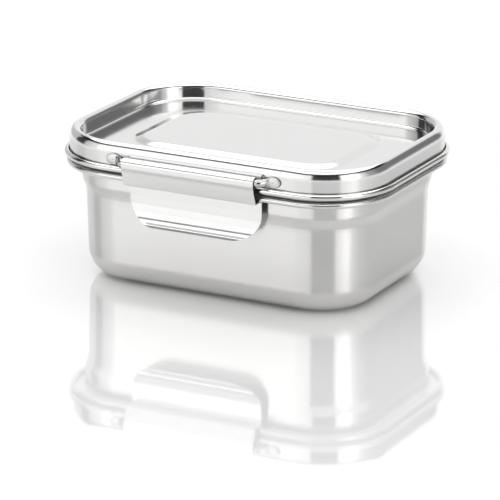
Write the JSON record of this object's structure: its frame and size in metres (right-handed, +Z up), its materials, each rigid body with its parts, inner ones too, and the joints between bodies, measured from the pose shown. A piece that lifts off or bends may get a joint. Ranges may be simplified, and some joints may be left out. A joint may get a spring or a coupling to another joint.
{
  "type": "lunch box",
  "caption": "Rectangular steel lunch box with rounded corners, a lift-off lid with a raised panel and stacking ridge, and wire-hinged spring clips on the long sides.",
  "frame": {"origin": "centre of the box's footprint, on the flat underside of the tub", "axes": "+X along the long sides, +Y away from the front clip towards the back clip, +Z up"},
  "size_m": [0.1854, 0.1452, 0.0791],
  "materials": {
    "tub_steel": "satin stainless steel",
    "lid_steel": "polished stainless steel",
    "seal_silicone": "translucent white silicone",
    "wire_steel": "drawn stainless wire, matt at the welded feet",
    "clip_steel": "polished stainless steel"
  },
  "bodies": {
    "tub": {"tub": "tub_steel"},
    "lid": {"lid": "lid_steel", "lid_seal": "seal_silicone", "hinge_wire_front": "wire_steel", "hinge_wire_back": "wire_steel"},
    "clip_front": {"clip_front": "clip_steel"},
    "clip_back": {"clip_back": "clip_steel"}
  },
  "joints": [
    {"name": "lid_lift", "type": "slide", "parent": "tub", "child": "lid", "axis": [0, 0, 1], "range_m": [0, 0.18]},
    {"name": "clip_front_swing", "type": "hinge", "parent": "lid", "child": "clip_front", "pos_m": [0, -0.0697, 0.0708], "axis": [-1, 0, 0], "range_deg": [0, 170]},
    {"name": "clip_back_swing", "type": "hinge", "parent": "lid", "child": "clip_back", "pos_m": [0, 0.0697, 0.0708], "axis": [1, 0, 0], "range_deg": [0, 170]}
  ]
}
